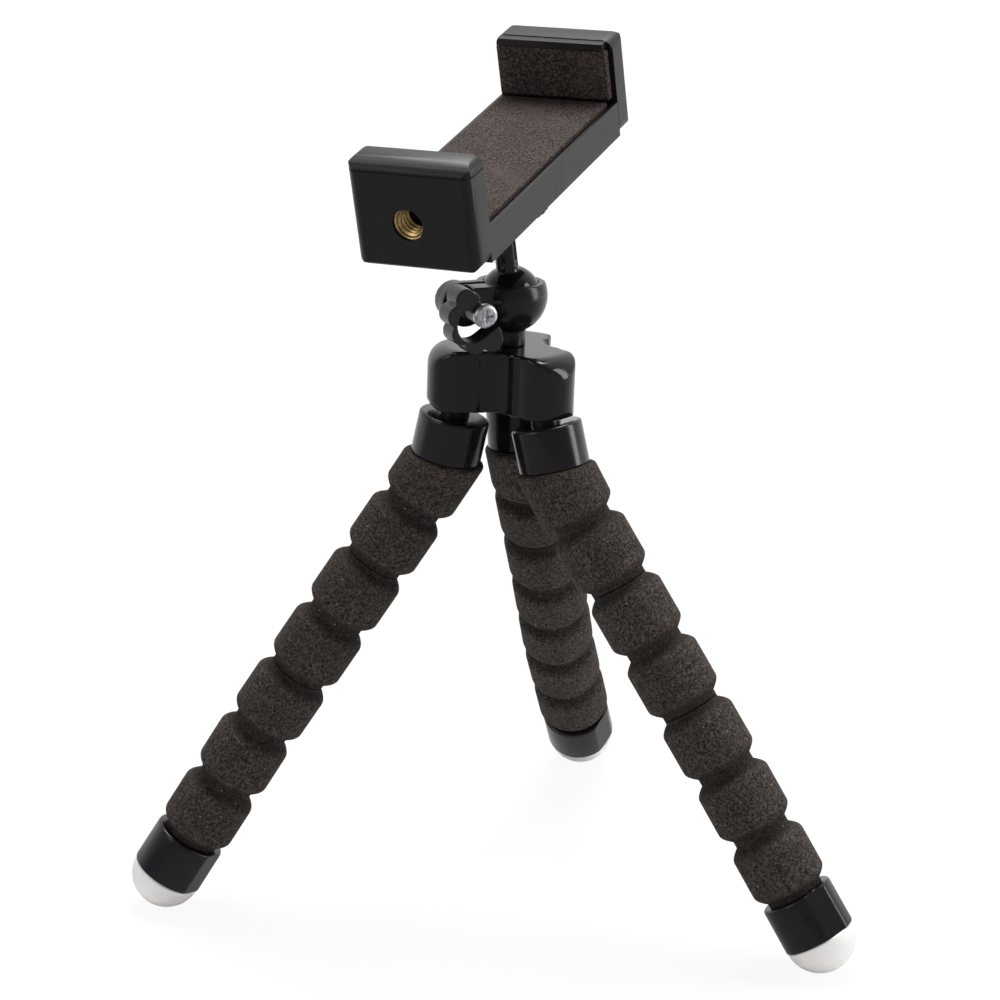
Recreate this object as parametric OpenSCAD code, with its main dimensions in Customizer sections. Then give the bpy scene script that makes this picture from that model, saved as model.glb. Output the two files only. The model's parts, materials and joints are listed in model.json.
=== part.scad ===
// Flexible phone tripod: three bendable foam legs, a trefoil hub, a split-cup ball head
// and a spring-loaded phone clamp. Millimetres, +Z up, standing on Z = 0.
// Rest pose: jaws closed, clamp tipped on its ball, legs spread as they stand on a table.

/* [Foam legs] */
// Radius of a foam bead
foam_r = 8.75; // [8:0.25:10]
// Radius at the bottom of the groove between two beads
groove_r = 6.6; // [6.6:0.05:7.2]
// Width of the groove's flat bottom
groove_w = 1.8; // [1:0.2:2.6]
// Distance from one groove to the next
bead_pitch = 16.2; // [14:0.2:18]
// Visible length of the top bead, from its collar to the first groove
first_bead = 13.6; // [12:0.2:16]
// Length of the rounded shoulder at each end of a bead
shoulder_len = 2.8; // [2.5:0.1:4.5]
// Radius of the aluminium wire inside a leg
wire_r = 1.75; // [1.25:0.25:2.5]
// Most that a leg bends each way at one bending station, in degrees
bend_max = 20; // [10:1:22]
// Radius of the convex seat that each foam length turns on
seat_r = 6.4; // [5.5:0.1:6.5]

/* [Leg ends] */
// Outer radius of the collar at the top of a leg
collar_r = 8; // [7.5:0.25:9]
// Length of the collar
collar_len = 10; // [8:0.5:13]
// Distance from the ball of the leg pin to the top of the collar
pin_reach = 4.9; // [4.6:0.1:6]
// Radius of the ball on the leg pin
pin_ball_r = 4.8; // [4.4:0.1:5]
// Radius of the shank on which the collar turns
shank_r = 2.6; // [2:0.1:3]
// Outer radius of the end cap
cap_r = 8.4; // [7.5:0.05:9]
// Length of the end cap
cap_len = 11.3; // [9:0.1:14]
// Radius of the rubber foot
foot_r = 8.2; // [7:0.1:8.4]

/* [Hub] */
// Half the width of a hub lobe
lobe_half = 6.7; // [6.4:0.1:7.5]
// Distance from the hub axis to the centre of the lobe's round end
lobe_reach = 11.7; // [11.4:0.1:13]
// Distance from the hub axis to the ball of a leg pin
socket_reach = 11; // [10.5:0.1:11.5]
// Height of the hub's top above the leg balls
hub_top = 11.3; // [10:0.1:14]
// Depth of the hub's skirt below the leg balls
hub_skirt = 2.8; // [2:0.1:3]
// Depth of the base cover below the leg balls, inside the skirt
hub_under = 1.2; // [0.8:0.1:1.6]
// Radius of the rounding over the outer ends of the lobes
lobe_round = 4.8; // [3:0.2:6]

/* [Ball head] */
// Radius of the ball
ball_r = 6.85; // [6.5:0.05:7.2]
// Wall of the bowl that holds the ball
bowl_wall = 1.5; // [1.2:0.1:2]
// Height of the bowl's rim above the ball's centre
rim_h = 3.3; // [2.5:0.1:4]
// Height of the ball's centre above the leg balls
ball_h = 22.5; // [21:0.5:25]
// Radius of the neck under the bowl
neck_r = 3.7; // [3.2:0.1:4.5]
// Distance from the bowl's axis to the lock screw
screw_reach = 11.2; // [10.8:0.1:12]
// Depth of the lock screw below the ball's centre
screw_drop = 1.5; // [1:0.1:2.5]
// Radius of the lock screw
screw_r = 1.5; // [1.25:0.25:1.75]
// Radius of the round ears that the lock screw draws together
ear_r = 4.8; // [4:0.1:5.2]
// Width of the slit in the bowl
slit_w = 1.5; // [1:0.1:2]
// Radius of the stem above the ball
stem_r = 2.5; // [2.2:0.1:3]
// Height of the clamp's underside above the ball's centre
stem_len = 25; // [22:0.2:28]
// Radius of the lock wheel under the clamp
wheel_r = 10.8; // [9:0.2:12]
// Thickness of the lock wheel
wheel_t = 4.2; // [3.5:0.1:5]

/* [Lock lever] */
// Thickness of the lock lever
lever_t = 5.5; // [4:0.5:6.5]
// Reach of the lever's finger lobes from the middle of its loop
lever_r = 8.4; // [7.8:0.1:9]
// Width of the lever's finger loop
loop_w = 7.8; // [7.6:0.1:8.4]
// Depth of the lever's finger loop below the lock screw
loop_depth = 6.9; // [6:0.1:7]

/* [Phone clamp] */
// Width of the jaws
clamp_w = 28.8; // [26:0.2:34]
// Distance from the stem axis to the outer face of the fixed jaw
fixed_reach = 40.3; // [36:0.1:44]
// Opening between the jaw pads when the clamp is closed
opening = 64; // [58:0.5:70]
// How far the sliding jaw opens
jaw_travel = 26; // [15:1:28]
// Thickness of the fixed jaw without its pad
jaw_t = 7; // [6.5:0.25:8]
// Thickness of the foam pads on the jaws
pad_t = 2; // [1.5:0.1:2.5]
// Height of the fixed jaw
fixed_jaw_h = 24; // [22:0.2:27]
// Height of the sliding jaw
sliding_jaw_h = 22.6; // [21:0.2:25]
// Height of the channel under the phone
channel_h = 8; // [7.6:0.2:10]
// Radius of the tapped brass bore, a 1/4 inch screw
thread_r = 3.175; // [3.175:0.001:3.2]

/* [Pose] */
// Tip of the left leg's top length from the vertical, which sets the hub's height, in degrees
stance = 32.9; // [30:0.001:50]
// Turn of the hub about its axis, in degrees
hub_turn = -15.4; // [-30:0.2:30]
// Lean of the hub away from the front, in degrees
hub_back = 3.5; // [-6:0.5:6]
// Lean of the hub to the right, in degrees
hub_right = 2; // [-6:0.5:6]
// Tip of each collar from the hub's axis: left, right and rear leg
pin_tip = [10.7, 15.2, 5]; // [0:0.1:18]
// Direction of that tip, in degrees from the middle of the lobe
pin_swing = [-26.6, 18, -75]; // [-90:0.2:40]
// Direction of each foam leg, in degrees from the middle of the lobe
leg_swing = [-12.2, 21.6, 1.8]; // [-30:0.1:30]
// Yaw of the clamp about the vertical, in degrees
clamp_yaw = -25.4; // [-45:0.2:45]
// Rise of the clamp's far end, in degrees
clamp_pitch = 10.6; // [-12:0.2:12]
// Sideways tip of the clamp, in degrees
clamp_roll = -1.7; // [-10:0.1:10]
// Direction of the bowl's ears, in degrees from the left lobe
cup_turn = 9.4; // [-20:0.2:20]
// Angle of the lever's loop below the horizontal, in degrees
lever_turn = 35; // [20:0.5:60]

/* [Hidden] */
LEGS = ["left", "right", "rear"];
$fn = 64;

// Clearances and small cuts
cut = 1;            // overrun of every cut
run_fit = 0.07;     // radial clearance of a shaft or ball in its seat
slip = 0.2;         // gap between parts that slide past each other
soft_gap = 0.35;    // gap between foam lengths on their seats
edge = 0.5;         // small chamfer

// Legs
lobe_angle = [210, 330, 90];
bead_count = [1, 2, 2, 2];
// How the legs curve: tip and sideways turn of each of the four lengths, in degrees
curve_tip = [[0, 0.5, 0.5, -1], [-3.3, 0.3, 1.8, 1.2], [-3, -2.4, 2.3, 3.1]];
curve_turn = [[0, 0, -0.5, 0.5], [5, 2, -3, -4], [-2, -1, 3.5, -0.5]];
notch = bend_max / 2 + 1;
wire_gap = wire_r * tan(notch) + slip / 4;
wire_anchor = 3.5;
sleeve_bore = wire_r + run_fit;
collar_cavity_r = shank_r + 4 * slip;
shank_len = 5.6;
pin_neck_r = 3.2;
bead_drop = foam_r - groove_r;
shoulder_count = 6;
cap_flat_share = 0.93;
// Direction that the flat of each end cap faces, in degrees from +X
cap_flat_turn = [-27, -52, -40];
foot_plug_r = 5.2;
foot_plug_len = 4;

// Hub
// The hollow between two lobes runs into their round ends
valley_r = lobe_reach - lobe_half;
cover_t = 2;
cover_wall = 1.4;
socket_r = pin_ball_r + run_fit;
hub_screw_r = 1;
hub_screw_reach = 5;
hub_screw_head = 1.5;
head_screw_r = 1.5;
spigot_r = 2.6;
spigot_len = 4;
skirt_bevel = 1.3;
skirt_rise = 2;

// Ball head
bowl_in = ball_r + run_fit;
bowl_r = ball_r + bowl_wall;
front_ear = 4.4;
front_ear_r = 2.8;
rear_ear = 2.5;
nut_boss = 3.5;
nut_r = 3.1;
nut_t = 2.4;
lever_boss = 2.4;
lever_edge = 1.5;
lobe_shift = 0.4;
loop_shift = 0.5;
lobe_r = 2.5;
lobe_first_angle = 10;
lobe_step_angle = 40;
lobe_count = 5;
screw_head_r = 2.7;
screw_head_t = 1.7;
flute_count = 4;
flute_r = 0.6;
stud_r = thread_r - run_fit;
stud_len = 4.6;
knurl_count = 30;

// Clamp
wall = 1.6;
plate_t = 1.4;
roof_rise = 2.8;
bevel_run = 1.2;
corner_r = 2.6;
deck_t = 1.6;
pad_set = 1.4;
floor_pad_w = clamp_w - 2 * pad_set;
floor_pad_t = 1.7;
ledge = 0.8;
boss_r = 5.2;
insert_r = 4.1;
end_hole_r = 3.55;
end_hole_z = 9.8;
end_hole_x = -1.2;
roof_run = 6.5;
roof_count = 8;
insert_sink = 1;
end_insert_len = 5.2;
base_insert_len = 5.2;
rail_w = 4.2;
rail_h = 3.6;
rail_x = clamp_w / 2 - wall - rail_w / 2 - 2 * slip;
lip_t = 1.8;
shell_set = 2.3;
jaw_shell_t = 6.9;
spring_r = 1.7;
spring_wall = 0.5;
pin_r = 0.8;
base_screw_r = 0.9;
base_screw_head = 1.7;
rail_back = 8;

// Places worked out from the sizes
function turn_z(p, a) = [p.x * cos(a) - p.y * sin(a), p.x * sin(a) + p.y * cos(a), p.z];
function turn_x(p, a) = [p.x, p.y * cos(a) - p.z * sin(a), p.y * sin(a) + p.z * cos(a)];
function turn_y(p, a) = [p.x * cos(a) + p.z * sin(a), p.y, -p.x * sin(a) + p.z * cos(a)];
function hub_way(p) = turn_y(turn_x(turn_z(p, hub_turn), -hub_back), hub_right);
function hub_point(p) = [0, 0, hub_z] + hub_way(p);
function way(tip, turn) = [sin(tip) * cos(turn), sin(tip) * sin(turn), -cos(tip)];
function sum(v, n) = n < 1 ? 0 * v[0] : v[n - 1] + sum(v, n - 1);

// Height of the leg balls above the ground, from the left leg's stance
function collar_drop(i) = (hub_way(socket(i)) + (pin_reach + collar_len) * collar_way(i)).z;
hub_z = foot_r + norm([reach_cos(0), reach_sin(0)]) * cos(stance + atan2(reach_sin(0), reach_cos(0)))
    - collar_drop(0);

// The i-th leg: its ball, the bottom of its collar, and its four straight lengths
function socket(i) = socket_reach * [cos(lobe_angle[i]), sin(lobe_angle[i]), 0];
function collar_way(i) = hub_way(way(pin_tip[i], lobe_angle[i] + pin_swing[i]));
function collar_end(i) = hub_point(socket(i)) + (pin_reach + collar_len) * collar_way(i);
function piece_len(k) = k == 0 ? first_bead : bead_count[k] * bead_pitch + (k == 3 ? cap_len : 0);
// Tip of the leg's mean line that sets the foot on the ground
function reach_cos(i) = sum([for (k = [0:3]) piece_len(k) * cos(curve_tip[i][k])], 4);
function reach_sin(i) = sum([for (k = [0:3]) piece_len(k) * sin(curve_tip[i][k])], 4);
function leg_tip(i) =
    acos((collar_end(i).z - foot_r) / norm([reach_cos(i), reach_sin(i)]))
    - atan2(reach_sin(i), reach_cos(i));
function piece_tip(i, k) = leg_tip(i) + curve_tip[i][k];
function piece_turn(i, k) = lobe_angle[i] + hub_turn + leg_swing[i] + curve_turn[i][k];
function piece_way(i, k) = way(piece_tip(i, k), piece_turn(i, k));
function station(i, k) = collar_end(i) + sum([for (j = [0:3]) piece_len(j) * piece_way(i, j)], k);
foot_x = [for (i = [0:2]) station(i, 4).x];
foot_y = [for (i = [0:2]) station(i, 4).y];
stand_centre = [(max(foot_x) + min(foot_x)) / 2, (max(foot_y) + min(foot_y)) / 2, 0];
head_point = hub_point([0, 0, ball_h]);
jaw_y = opening - fixed_reach + jaw_t + pad_t;

// Joint centres and directions, printed for the record of the moving parts
function from_centre(p) = p - stand_centre;
echo(sockets = [for (i = [0:2]) from_centre(hub_point(socket(i)))]);
echo(collar_ways = [for (i = [0:2]) collar_way(i)]);
echo(stations = [for (i = [0:2]) [for (k = [0:4]) from_centre(station(i, k))]]);
echo(piece_turns = [for (i = [0:2]) [for (k = [0:3]) piece_turn(i, k)]]);
echo(piece_tips = [for (i = [0:2]) [for (k = [0:3]) piece_tip(i, k)]]);
echo(hub_axis = hub_way([0, 0, 1]), hub_centre = from_centre([0, 0, hub_z]));
echo(head_point = from_centre(head_point), jaw_y = jaw_y, stand_centre = stand_centre);
echo(lock_axis = hub_way(turn_z([0, 1, 0], lobe_angle[0] + cup_turn)));
echo(lock_point = from_centre(hub_point([0, 0, ball_h - screw_drop]
    + turn_z([screw_reach, 0, 0], lobe_angle[0] + cup_turn))));

// Frames that the pieces are drawn in
module in_hub() {
    translate([0, 0, hub_z] - stand_centre) rotate([-hub_back, hub_right, 0])
        rotate([0, 0, hub_turn]) children();
}
module in_cup() {
    in_hub() translate([0, 0, ball_h]) rotate([0, 0, lobe_angle[0] + cup_turn]) children();
}
module in_pin(i) {
    in_hub() translate(socket(i)) rotate([0, 0, lobe_angle[i] + pin_swing[i]])
        rotate([0, -pin_tip[i], 0]) children();
}
module in_piece(i, k) {
    translate(station(i, k) - stand_centre) rotate([0, 0, piece_turn(i, k)])
        rotate([0, -piece_tip(i, k), 0]) children();
}
module in_ball() {
    translate(head_point - stand_centre) rotate([clamp_pitch, clamp_roll, clamp_yaw]) children();
}
module in_clamp() {
    in_ball() translate([0, 0, stem_len]) children();
}

// General shapes
module tube(r, h, bore) {
    difference() {
        cylinder(r = r, h = h);
        translate([0, 0, -cut]) cylinder(r = bore, h = h + 2 * cut);
    }
}
module round_rect(w, l, r) {
    square([w - 2 * r, l], center = true);
    square([w, l - 2 * r], center = true);
    for (x = [-1, 1], y = [-1, 1]) translate([x * (w / 2 - r), y * (l / 2 - r)]) circle(r);
}
module slab(x0, x1, y0, y1, z0, z1) {
    translate([x0, y0, z0]) cube([x1 - x0, y1 - y0, z1 - z0]);
}
module across(x0, x1) {
    translate([x0, 0, 0]) rotate([90, 0, 90]) linear_extrude(x1 - x0) children();
}

// Hub
module trefoil(half, reach, valley) {
    inner = (half + valley) / sin(60);
    difference() {
        union() {
            for (a = lobe_angle) rotate(a) {
                translate([0, -half]) square([reach, 2 * half]);
                translate([reach, 0]) circle(half);
            }
            circle(r = inner - valley);
        }
        for (a = lobe_angle) rotate(a + 60) translate([inner, 0]) circle(valley);
    }
    difference() {
        circle(r = inner * cos(30));
        for (a = lobe_angle) rotate(a + 60) translate([inner, 0]) circle(valley);
    }
}
module hub_body() {
    color("#19191b") in_hub() difference() {
        intersection() {
            translate([0, 0, -hub_skirt]) linear_extrude(hub_top + hub_skirt)
                trefoil(lobe_half, lobe_reach, valley_r);
            hub_envelope();
        }
        translate([0, 0, -hub_skirt - cut]) linear_extrude(hub_skirt - hub_under + cover_t + cut + slip / 2)
            trefoil(lobe_half - cover_wall, lobe_reach, valley_r + cover_wall);
        for (i = [0:2]) translate(socket(i)) sphere(socket_r);
        translate([0, 0, hub_top - spigot_len - slip])
            cylinder(r = spigot_r + run_fit, h = spigot_len + 2 * cut);
        translate([0, 0, -cut]) cylinder(r = head_screw_r + slip, h = hub_top);
        hub_screws(hub_screw_r, 0);
    }
}
// The turned shape that rounds the lobes' ends above and bevels them below
module hub_envelope() {
    reach = lobe_reach + lobe_half;
    rotate_extrude($fn = 128) difference() {
        union() {
            translate([0, -hub_skirt]) square([reach - lobe_round, hub_skirt + hub_top]);
            translate([0, -hub_skirt]) square([reach, hub_skirt + hub_top - lobe_round]);
            translate([reach - lobe_round, hub_top - lobe_round]) circle(lobe_round);
        }
        polygon([[reach - skirt_bevel, -hub_skirt], [reach, skirt_rise - hub_skirt],
            [reach + cut, skirt_rise - hub_skirt], [reach + cut, -hub_skirt - cut],
            [reach - skirt_bevel, -hub_skirt - cut]]);
    }
}
module hub_base_cover() {
    color("#1c1c1e") in_hub() difference() {
        translate([0, 0, -hub_under]) linear_extrude(cover_t)
            trefoil(lobe_half - cover_wall - slip / 2, lobe_reach, valley_r + cover_wall);
        for (i = [0:2]) translate(socket(i)) sphere(socket_r);
        translate([0, 0, -hub_under - cut]) cylinder(r = head_screw_r + slip, h = cover_t + 2 * cut);
        translate([0, 0, -hub_under - cut]) cylinder(r = 2 * head_screw_r + slip, h = cut + cover_t / 2);
        hub_screws(hub_screw_r + slip / 2, 1);
    }
}
module hub_screws(r, heads) {
    for (a = lobe_angle) rotate([0, 0, a + 60]) translate([hub_screw_reach, 0, -hub_under]) {
        cylinder(r = r, h = cover_t + 4 * hub_screw_r, $fn = 32);
        if (heads > 0) translate([0, 0, -cut]) cylinder(r = hub_screw_head, h = cut + hub_screw_r, $fn = 32);
    }
}
module hub_cover_screws() {
    color("#b4b7bd") in_hub() for (a = lobe_angle) rotate([0, 0, a + 60])
        translate([hub_screw_reach, 0, -hub_under]) {
            cylinder(r = hub_screw_r - slip / 8, h = cover_t + 3.5 * hub_screw_r, $fn = 32);
            cylinder(r = hub_screw_head - slip / 2, h = hub_screw_r - slip / 4, $fn = 32);
        }
}
module head_screw() {
    color("#b4b7bd") in_hub() translate([0, 0, -hub_under]) {
        cylinder(r = head_screw_r, h = hub_top + hub_under - slip, $fn = 32);
        cylinder(r = 2 * head_screw_r, h = cover_t / 2, $fn = 32);
    }
}

// Leg pin and collar, drawn hanging down from the ball of the pin
module leg_pin(i) {
    color("#161618") in_pin(i) {
        sphere(pin_ball_r);
        translate([0, 0, -pin_reach]) cylinder(r = pin_neck_r, h = pin_reach);
        translate([0, 0, -pin_reach - shank_len]) cylinder(r = shank_r, h = shank_len + edge);
        translate([0, 0, -pin_reach - shank_len]) cylinder(r = shank_r + edge / 2, h = edge);
    }
}
module collar(i) {
    color("#171719") in_pin(i) translate([0, 0, -pin_reach - collar_len]) difference() {
        union() {
            translate([0, 0, edge]) cylinder(r = collar_r, h = collar_len - 2 * edge);
            cylinder(r1 = collar_r - edge, r2 = collar_r, h = edge);
            translate([0, 0, collar_len - edge])
                cylinder(r1 = collar_r, r2 = collar_r - edge, h = edge - slip / 4);
        }
        translate([0, 0, collar_len - shank_len - 2 * slip])
            cylinder(r = shank_r + run_fit, h = shank_len + cut);
        translate([0, 0, collar_len - shank_len - 2 * slip]) cylinder(r = collar_cavity_r, h = 4 * edge);
        translate([0, 0, -cut]) cylinder(r = sleeve_bore, h = wire_anchor + cut + slip / 4);
    }
}

// Foam: beads along -Z from the middle of a groove at z = 0, with rounded shoulders
function bead_half() = [for (s = [0:shoulder_count])
    let (a = 90 * s / shoulder_count)
    [groove_r + bead_drop * sin(a), groove_w / 2 + shoulder_len * s / shoulder_count]];
function bead_side(len) = concat(
    [[groove_r, 0]], bead_half(),
    [for (s = [shoulder_count:-1:0]) [bead_half()[s].x, len - bead_half()[s].y]], [[groove_r, len]]);
module beads(n, len) {
    rotate([180, 0, 0]) for (b = [0:n - 1]) translate([0, 0, b * len])
        rotate_extrude() polygon(concat([[0, 0]], bead_side(len), [[0, len]]));
}
// What a bending station takes away below it (way = -1) or above it (way = 1)
module station_cut(way) {
    far = 2 * foam_r;
    scale([1, 1, way]) rotate_extrude()
        polygon([[0, 0], [far, far * tan(notch)], [far, -far], [0, -far]]);
}
module foam_top(n, len) {
    difference() {
        union() {
            difference() {
                beads(n, len);
                station_cut(-1);
            }
            sphere(seat_r);
        }
        cylinder(r1 = wire_r + slip, r2 = wire_r + slip + foam_r * tan(bend_max + 2), h = foam_r);
    }
}
module foam_length(i, k) {
    n = bead_count[k];
    run = n * bead_pitch;
    color("#2c2926") in_piece(i, k) difference() {
        foam_top(n, bead_pitch);
        translate([0, 0, -run - cut]) cylinder(r = sleeve_bore, h = run + 2 * cut);
        if (k < 3) translate([0, 0, -run]) {
            station_cut(1);
            sphere(seat_r + soft_gap);
        }
    }
}
// The top bead starts at the slanting underside of its collar
module foam_first(i) {
    color("#2c2926") difference() {
        in_piece(i, 0) difference() {
            union() {
                translate([0, 0, bead_pitch - first_bead]) beads(1, bead_pitch);
                translate([0, 0, -first_bead / 2]) cylinder(r = foam_r, h = first_bead);
            }
            translate([0, 0, -first_bead - cut]) cylinder(r = sleeve_bore, h = 2 * first_bead);
            translate([0, 0, -first_bead]) {
                station_cut(1);
                sphere(seat_r + soft_gap);
            }
        }
        in_pin(i) translate([0, 0, -pin_reach - collar_len - slip / 4])
            cylinder(r = 2 * foam_r, h = first_bead + foam_r);
        in_pin(i) translate([0, 0, -pin_reach - collar_len - wire_r])
            cylinder(r = sleeve_bore, h = 2 * wire_r);
    }
}
module wire_first(i) {
    color("#a4a7ab") {
        in_pin(i) translate([0, 0, slip - pin_reach - collar_len - wire_r])
            cylinder(r = wire_r - run_fit / 2, h = wire_anchor + wire_r - slip, $fn = 32);
        in_piece(i, 0) translate([0, 0, wire_gap - first_bead])
            cylinder(r = wire_r, h = first_bead - wire_gap - 3 * edge, $fn = 32);
    }
}
module wire_length(i, k) {
    run = bead_count[k] * bead_pitch;
    low = k == 3 ? -run - wire_anchor : wire_gap - run;
    color("#a4a7ab") in_piece(i, k) translate([0, 0, low])
        cylinder(r = wire_r, h = -wire_gap - low, $fn = 32);
}
module end_cap(i) {
    run = bead_count[3] * bead_pitch;
    color("#171719") in_piece(i, 3) translate([0, 0, -run - cap_len]) difference() {
        union() {
            rotate([0, 0, cap_flat_turn[i] - piece_turn(i, 3)]) intersection() {
                cylinder(r = cap_r, h = cap_len - edge);
                translate([-3 * cap_r + cap_r * cap_flat_share, -2 * cap_r, -cut])
                    cube([3 * cap_r, 4 * cap_r, cap_len + 2 * cut]);
            }
            translate([0, 0, cap_len - edge - slip / 4])
                cylinder(r1 = cap_r * cap_flat_share, r2 = cap_r * cap_flat_share - edge, h = edge);
        }
        translate([0, 0, cap_len - wire_anchor - slip]) cylinder(r = sleeve_bore, h = wire_anchor + cut);
        translate([0, 0, -cut]) cylinder(r = foot_plug_r, h = foot_plug_len + cut);
    }
}
module foot(i) {
    run = bead_count[3] * bead_pitch;
    color("#ecebe6") in_piece(i, 3) translate([0, 0, -run - cap_len]) {
        intersection() {
            sphere(foot_r);
            translate([0, 0, -2 * foot_r]) cylinder(r = 2 * foot_r, h = 2 * foot_r);
        }
        cylinder(r = foot_plug_r - slip / 4, h = foot_plug_len - slip / 2);
    }
}

// Ball head: origin at the ball, ears along +X, lock screw along +Y
module at_screw(y) {
    translate([screw_reach, y, -screw_drop]) rotate([-90, 0, 0]) children();
}
module ear(y0, y1, r) {
    at_screw(y0) cylinder(r = r, h = y1 - y0);
}
module ball_cup() {
    base = hub_top - ball_h;
    front = slit_w / 2 + front_ear;
    back = -slit_w / 2 - rear_ear;
    color("#1a1a1c") in_cup() difference() {
        union() {
            sphere(bowl_r, $fn = 96);
            translate([0, 0, base]) cylinder(r = neck_r, h = -base);
            translate([0, 0, base - spigot_len]) cylinder(r = spigot_r, h = spigot_len + cut);
            intersection() {
                union() {
                    ear(back, slit_w, ear_r);
                    ear(0, front, front_ear_r);
                    ear(back - nut_boss, back - slip, ear_r - edge);
                    ear(back - slip - cut, back + cut, ear_r - 2 * edge);
                    slab(bowl_in / 2, screw_reach, back, slit_w, -screw_drop - ear_r + edge, rim_h);
                    slab(bowl_in / 2, screw_reach, 0, front, -screw_drop - front_ear_r + edge, rim_h);
                }
                slab(0, 2 * screw_reach, 2 * back - nut_boss, 2 * front, -2 * ear_r, rim_h);
            }
        }
        sphere(bowl_in, $fn = 96);
        translate([0, 0, rim_h]) cylinder(r = 2 * screw_reach, h = bowl_r);
        cylinder(r = sqrt(bowl_in * bowl_in - rim_h * rim_h), h = bowl_r);
        slab(0, 2 * screw_reach, -slit_w / 2, slit_w / 2, -bowl_in, bowl_r);
        at_screw(-2 * front) cylinder(r = screw_r + run_fit, h = 4 * front);
        at_screw(back - nut_boss - cut) cylinder(r = nut_r + slip / 4, h = nut_t + cut, $fn = 6);
        translate([0, 0, base - spigot_len - cut])
            cylinder(r = head_screw_r + slip / 4, h = spigot_len + hub_under + cut, $fn = 32);
    }
}
module lock_nut() {
    back = -slit_w / 2 - rear_ear - nut_boss;
    color("#b4b7bd") in_cup() at_screw(back + slip / 4) difference() {
        cylinder(r = nut_r, h = nut_t - slip / 2, $fn = 6);
        translate([0, 0, -cut]) cylinder(r = screw_r + run_fit, h = nut_t + 2 * cut);
    }
}
// The lever hangs from the screw: finger lobes round an open loop, a boss and its web
module lever_outline() {
    difference() {
        union() {
            translate([-loop_shift, 0]) difference() {
                translate([0, lobe_shift]) union() {
                    circle(lever_r - lobe_r);
                    for (n = [0:lobe_count - 1]) rotate(lobe_first_angle + n * lobe_step_angle)
                        translate([lever_r - lobe_r, 0]) circle(lobe_r);
                }
                translate([0, loop_depth - loop_w / 2]) circle(loop_w / 2);
                translate([-loop_w / 2, -lever_r]) square([loop_w, lever_r + loop_depth - loop_w / 2]);
            }
            circle(lever_boss);
            rotate(lobe_first_angle) translate([0, -lever_edge]) square([loop_w / 2, 2 * lever_edge]);
        }
        translate([-2 * lever_r, -2 * lever_r - lever_edge]) square([4 * lever_r, 2 * lever_r]);
        circle(screw_r + run_fit);
    }
}
lever_back = slit_w / 2 + front_ear + slip;
module lock_lever() {
    color("#242428") in_cup() at_screw(lever_back) linear_extrude(lever_t)
        rotate(lever_turn - 90) lever_outline();
}
module lock_screw() {
    nut_back = slit_w / 2 + rear_ear + nut_boss;
    head = lever_back + lever_t + slip / 4;
    color("#c2c6d0") in_cup() at_screw(0) difference() {
        union() {
            translate([0, 0, slip - nut_back]) cylinder(r = screw_r, h = nut_back + head);
            translate([0, 0, head]) cylinder(r = screw_head_r, h = screw_head_t - edge);
            translate([0, 0, head + screw_head_t - edge])
                cylinder(r1 = screw_head_r, r2 = screw_head_r - edge, h = edge);
        }
        for (a = [0, 90]) rotate([0, 0, a]) translate([-screw_r, -edge / 2, head + screw_head_t / 2])
            cube([2 * screw_r, edge, screw_head_t]);
    }
}
module ball_stem() {
    wheel_low = stem_len - wheel_t - slip;
    color("#111113") in_ball() {
        sphere(ball_r, $fn = 96);
        difference() {
            cylinder(r = stem_r, h = wheel_low);
            for (n = [0:flute_count - 1]) rotate([0, 0, 360 * n / flute_count]) translate([stem_r, 0, ball_r])
                cylinder(r = flute_r, h = wheel_low, $fn = 24);
        }
        translate([0, 0, wheel_low - edge]) cylinder(r = stud_r, h = wheel_t + slip + edge + stud_len);
    }
}
module lock_wheel() {
    color("#151517") in_ball() translate([0, 0, stem_len - wheel_t - slip / 2]) difference() {
        union() {
            translate([0, 0, edge]) cylinder(r = wheel_r, h = wheel_t - 2 * edge);
            cylinder(r = wheel_r - edge, h = wheel_t - slip / 2);
        }
        translate([0, 0, -cut]) cylinder(r = stud_r + run_fit, h = wheel_t + 2 * cut);
        for (n = [0:knurl_count - 1]) rotate([0, 0, 360 * n / knurl_count]) translate([wheel_r, 0, -cut])
            cylinder(r = edge / 2, h = wheel_t + 2 * cut, $fn = 16);
    }
}

// Phone clamp: origin on the stem axis at the underside, the sliding jaw towards +Y
inner = -fixed_reach + jaw_t;
module jaw_plan(y0, y1) {
    translate([0, (y0 + y1) / 2]) round_rect(clamp_w, y1 - y0, corner_r);
}
module jaw_face(h) {
    translate([0, h / 2]) round_rect(clamp_w, h, corner_r);
}
function roof(h) = [for (n = [roof_count:-1:0])
    let (a = 90 * n / roof_count) [-fixed_reach + roof_run * (1 - cos(a)), h - roof_rise * (1 - sin(a))]];
module fixed_jaw() {
    intersection() {
        linear_extrude(fixed_jaw_h) jaw_plan(-fixed_reach, inner + 2 * corner_r);
        translate([0, inner, 0]) rotate([90, 0, 0]) linear_extrude(jaw_t) jaw_face(fixed_jaw_h);
        across(-clamp_w, clamp_w) polygon(concat(
            [[-fixed_reach, edge], [-fixed_reach + edge, 0], [inner, 0], [inner, fixed_jaw_h]],
            roof(fixed_jaw_h)));
    }
}
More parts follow.
